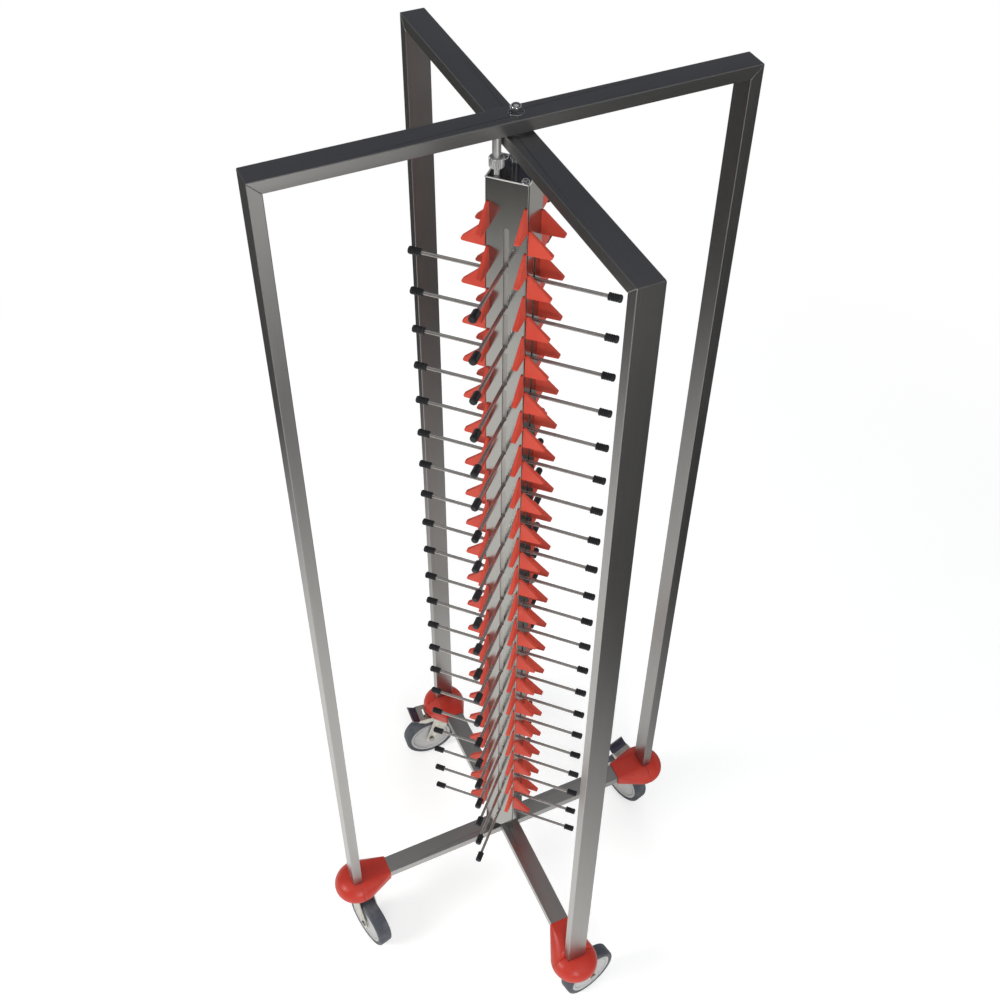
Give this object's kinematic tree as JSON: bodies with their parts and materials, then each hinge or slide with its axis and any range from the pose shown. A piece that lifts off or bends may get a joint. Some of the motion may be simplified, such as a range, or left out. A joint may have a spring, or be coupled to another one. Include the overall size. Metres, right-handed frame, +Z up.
{
  "type": "mobile plate stand",
  "caption": "Wheeled plate stand: two crossed tube frames that fold about a slotted column, with capped rods and red clips that hold plates in four stacks",
  "frame": {"origin": "on the floor, on the column's axis", "axes": "+Z up; the column's faces look along X and Y, the frames lie on the diagonals; -Y is the front"},
  "size_m": [0.663, 0.6408, 2.0194],
  "materials": {
    "frame_steel": "brushed stainless tube",
    "column_steel": "polished stainless sheet",
    "hardware_chrome": "bright plated",
    "rod_chrome": "polished round bar",
    "cap_rubber": "ribbed black rubber",
    "clip_plastic": "smooth moulded red",
    "bumper_plastic": "glossy moulded red",
    "caster_zinc": "zinc plated sheet",
    "pedal_zinc": "zinc plated sheet",
    "wheel_plastic": "light grey moulded",
    "tyre_rubber": "grey rubber tread"
  },
  "bodies": {
    "stand": {"inner_frame_top_bar": "frame_steel", "inner_frame_left_leg": "frame_steel", "inner_frame_right_leg": "frame_steel", "inner_frame_base_bar": "frame_steel", "column_shell": "column_steel", "column_top_plate": "column_steel", "column_foot_plate": "column_steel", "column_plate_screws": "hardware_chrome", "spindle": "hardware_chrome", "crossing_washers": "hardware_chrome", "spindle_sleeve": "hardware_chrome", "spindle_foot_nut": "hardware_chrome", "clips_front": "clip_plastic", "clips_right": "clip_plastic", "clips_back": "clip_plastic", "clips_left": "clip_plastic", "bumper_outer_halves_b": "bumper_plastic", "bumper_inner_halves_b": "bumper_plastic", "caster_mount_front_right": "caster_zinc", "caster_mount_back_left": "caster_zinc"},
    "outer_frame": {"outer_frame_top_bar": "frame_steel", "outer_frame_left_leg": "frame_steel", "outer_frame_right_leg": "frame_steel", "outer_frame_base_bar": "frame_steel", "bumper_outer_halves_a": "bumper_plastic", "bumper_inner_halves_a": "bumper_plastic", "caster_mount_front_left": "caster_zinc", "caster_mount_back_right": "caster_zinc"},
    "rod_carriage": {"rod_rails": "column_steel", "rail_spiders": "column_steel", "rods_front": "rod_chrome", "rods_right": "rod_chrome", "rods_back": "rod_chrome", "rods_left": "rod_chrome", "rod_caps": "cap_rubber"},
    "top_nut": {"top_nut": "hardware_chrome"},
    "lock_screw": {"fold_lock_screw": "hardware_chrome"},
    "swivel_front_left": {"caster_fork_front_left": "caster_zinc", "caster_axle_front_left": "caster_zinc"},
    "rolling_wheel_front_left": {"wheel_front_left": "wheel_plastic", "tyre_front_left": "tyre_rubber"},
    "swivel_front_right": {"caster_fork_front_right": "caster_zinc", "caster_axle_front_right": "caster_zinc"},
    "rolling_wheel_front_right": {"wheel_front_right": "wheel_plastic", "tyre_front_right": "tyre_rubber"},
    "swivel_back_right": {"caster_fork_back_right": "caster_zinc", "caster_axle_back_right": "caster_zinc"},
    "rolling_wheel_back_right": {"wheel_back_right": "wheel_plastic", "tyre_back_right": "tyre_rubber"},
    "pedal_back_right": {"brake_pedal_back_right": "pedal_zinc"},
    "swivel_back_left": {"caster_fork_back_left": "caster_zinc", "caster_axle_back_left": "caster_zinc"},
    "rolling_wheel_back_left": {"wheel_back_left": "wheel_plastic", "tyre_back_left": "tyre_rubber"},
    "pedal_back_left": {"brake_pedal_back_left": "pedal_zinc"}
  },
  "joints": [
    {"name": "frame_fold", "type": "hinge", "parent": "stand", "child": "outer_frame", "pos_m": [0, 0, 1], "axis": [0, 0, 1], "range_deg": [-60, 60]},
    {"name": "rod_lift", "type": "slide", "parent": "stand", "child": "rod_carriage", "axis": [0, 0, 1], "range_m": [0, 0.058]},
    {"name": "top_nut_turn", "type": "hinge", "parent": "stand", "child": "top_nut", "pos_m": [0, 0, 2], "axis": [0, 0, 1], "range_deg": [0, 360]},
    {"name": "lock_screw_turn", "type": "hinge", "parent": "stand", "child": "lock_screw", "pos_m": [-0.0195, -0.0195, 1.95], "axis": [0, 0, 1], "range_deg": [0, 360]},
    {"name": "swivel_front_left_turn", "type": "hinge", "parent": "outer_frame", "child": "swivel_front_left", "pos_m": [-0.25456, -0.25456, 0.15], "axis": [0, 0, 1], "continuous": true},
    {"name": "wheel_front_left_roll", "type": "hinge", "parent": "swivel_front_left", "child": "rolling_wheel_front_left", "pos_m": [-0.21809, -0.27735, 0.0625], "axis": [0.5299, 0.848, 0], "continuous": true},
    {"name": "swivel_front_right_turn", "type": "hinge", "parent": "stand", "child": "swivel_front_right", "pos_m": [0.25456, -0.25456, 0.15], "axis": [0, 0, 1], "continuous": true},
    {"name": "wheel_front_right_roll", "type": "hinge", "parent": "swivel_front_right", "child": "rolling_wheel_front_right", "pos_m": [0.27735, -0.21809, 0.0625], "axis": [-0.848, 0.5299, 0], "continuous": true},
    {"name": "swivel_back_right_turn", "type": "hinge", "parent": "outer_frame", "child": "swivel_back_right", "pos_m": [0.25456, 0.25456, 0.15], "axis": [0, 0, 1], "continuous": true},
    {"name": "wheel_back_right_roll", "type": "hinge", "parent": "swivel_back_right", "child": "rolling_wheel_back_right", "pos_m": [0.21732, 0.27606, 0.0625], "axis": [-0.5, -0.866, 0], "continuous": true},
    {"name": "pedal_back_right_press", "type": "hinge", "parent": "swivel_back_right", "child": "pedal_back_right", "pos_m": [0.23204, 0.26756, 0.1447], "axis": [-0.5, -0.866, 0], "range_deg": [0, 8]},
    {"name": "swivel_back_left_turn", "type": "hinge", "parent": "stand", "child": "swivel_back_left", "pos_m": [-0.25456, 0.25456, 0.15], "axis": [0, 0, 1], "continuous": true},
    {"name": "wheel_back_left_roll", "type": "hinge", "parent": "swivel_back_left", "child": "rolling_wheel_back_left", "pos_m": [-0.28651, 0.22579, 0.0625], "axis": [0.6691, -0.7431, 0], "continuous": true},
    {"name": "pedal_back_left_press", "type": "hinge", "parent": "swivel_back_left", "child": "pedal_back_left", "pos_m": [-0.27388, 0.23716, 0.1447], "axis": [0.6691, -0.7431, 0], "range_deg": [0, 8]}
  ]
}
